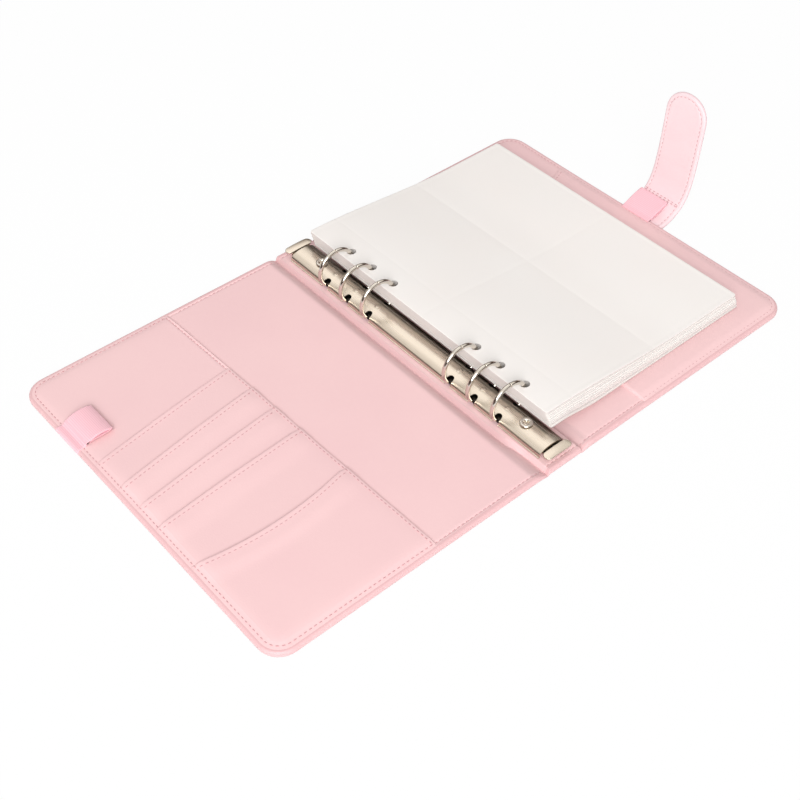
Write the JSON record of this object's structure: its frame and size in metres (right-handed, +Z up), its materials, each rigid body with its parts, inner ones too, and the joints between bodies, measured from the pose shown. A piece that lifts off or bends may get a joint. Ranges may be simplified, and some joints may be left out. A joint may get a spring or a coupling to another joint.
{
  "type": "cash envelope wallet",
  "caption": "Soft leatherette ring wallet lying open, with card slots, pen loops, a closing strap and clear pocket sleeves on metal rings.",
  "frame": {"origin": "middle of the spine's underside, where the wallet lies on the table", "axes": "+X across the open covers towards the back cover and its strap, +Y along the spine away from the viewer, +Z up"},
  "size_m": [0.4037, 0.2318, 0.0825],
  "materials": {
    "outer_leatherette": "satin grained leatherette, pink",
    "lining_leatherette": "smooth matt leatherette, pale pink",
    "pocket_leatherette": "smooth matt leatherette, pale pink",
    "strap_leatherette": "smooth matt leatherette, very pale pink",
    "pink_elastic": "ribbed woven elastic",
    "nickel_steel": "bright nickel plate",
    "frosted_film": "frosted clear film",
    "grey_board": "grey board",
    "magnet": "plated magnet"
  },
  "bodies": {
    "spine": {"spine_outer": "outer_leatherette", "spine_board": "grey_board", "spine_lining": "lining_leatherette", "ring_plate": "nickel_steel", "rivet_near": "nickel_steel", "rivet_far": "nickel_steel"},
    "front_cover": {"front_outer": "outer_leatherette", "front_board": "grey_board", "front_magnet": "magnet", "front_lining": "lining_leatherette", "slip_pocket": "lining_leatherette", "card_pocket_1": "pocket_leatherette", "card_pocket_2": "pocket_leatherette", "card_pocket_3": "pocket_leatherette", "card_pocket_4": "pocket_leatherette", "curved_pocket": "pocket_leatherette", "front_pen_loop": "pink_elastic"},
    "back_cover": {"back_outer": "outer_leatherette", "back_board": "grey_board", "back_lining": "lining_leatherette", "back_panel": "lining_leatherette", "back_pocket": "pocket_leatherette", "strap_outer": "strap_leatherette", "strap_inner": "strap_leatherette", "strap_magnet": "magnet", "strap_pen_loop": "pink_elastic"},
    "sleeves": {"sleeve_stack": "frosted_film"},
    "left_bar": {"left_rail": "nickel_steel", "left_half_ring_1": "nickel_steel", "left_half_ring_2": "nickel_steel", "left_half_ring_3": "nickel_steel", "left_half_ring_4": "nickel_steel", "left_half_ring_5": "nickel_steel", "left_half_ring_6": "nickel_steel"},
    "right_bar": {"right_rail": "nickel_steel", "right_half_ring_1": "nickel_steel", "right_half_ring_2": "nickel_steel", "right_half_ring_3": "nickel_steel", "right_half_ring_4": "nickel_steel", "right_half_ring_5": "nickel_steel", "right_half_ring_6": "nickel_steel"},
    "near_lever": {"lever_near": "nickel_steel"},
    "far_lever": {"lever_far": "nickel_steel"}
  },
  "joints": [
    {"name": "front_cover_hinge", "type": "hinge", "parent": "spine", "child": "front_cover", "pos_m": [-0.0195, 0, 0.0019], "axis": [0, 1, 0], "range_deg": [0, 90]},
    {"name": "back_cover_hinge", "type": "hinge", "parent": "spine", "child": "back_cover", "pos_m": [0.0195, 0, 0.0019], "axis": [0, -1, 0], "range_deg": [0, 90]},
    {"name": "sleeves_swing", "type": "hinge", "parent": "spine", "child": "sleeves", "pos_m": [0, 0, 0.0153], "axis": [0, -1, 0], "range_deg": [0, 90]},
    {"name": "left_rings_open", "type": "hinge", "parent": "spine", "child": "left_bar", "pos_m": [-0.0083, 0, 0.006], "axis": [0, -1, 0], "range_deg": [0, 12]},
    {"name": "right_rings_open", "type": "hinge", "parent": "spine", "child": "right_bar", "pos_m": [0.0083, 0, 0.006], "axis": [0, 1, 0], "range_deg": [0, 12]},
    {"name": "near_lever_press", "type": "hinge", "parent": "spine", "child": "near_lever", "pos_m": [0, -0.1025, 0.0066], "axis": [1, 0, 0], "range_deg": [0, 14]},
    {"name": "far_lever_press", "type": "hinge", "parent": "spine", "child": "far_lever", "pos_m": [0, 0.1025, 0.0066], "axis": [-1, 0, 0], "range_deg": [0, 14]}
  ],
  "couplings": [
    {"joint": "sleeves_swing", "follows": "back_cover_hinge", "ratio": 1},
    {"joint": "right_rings_open", "follows": "left_rings_open", "ratio": 1},
    {"joint": "near_lever_press", "follows": "left_rings_open", "ratio": 1.166},
    {"joint": "far_lever_press", "follows": "left_rings_open", "ratio": 1.166}
  ]
}
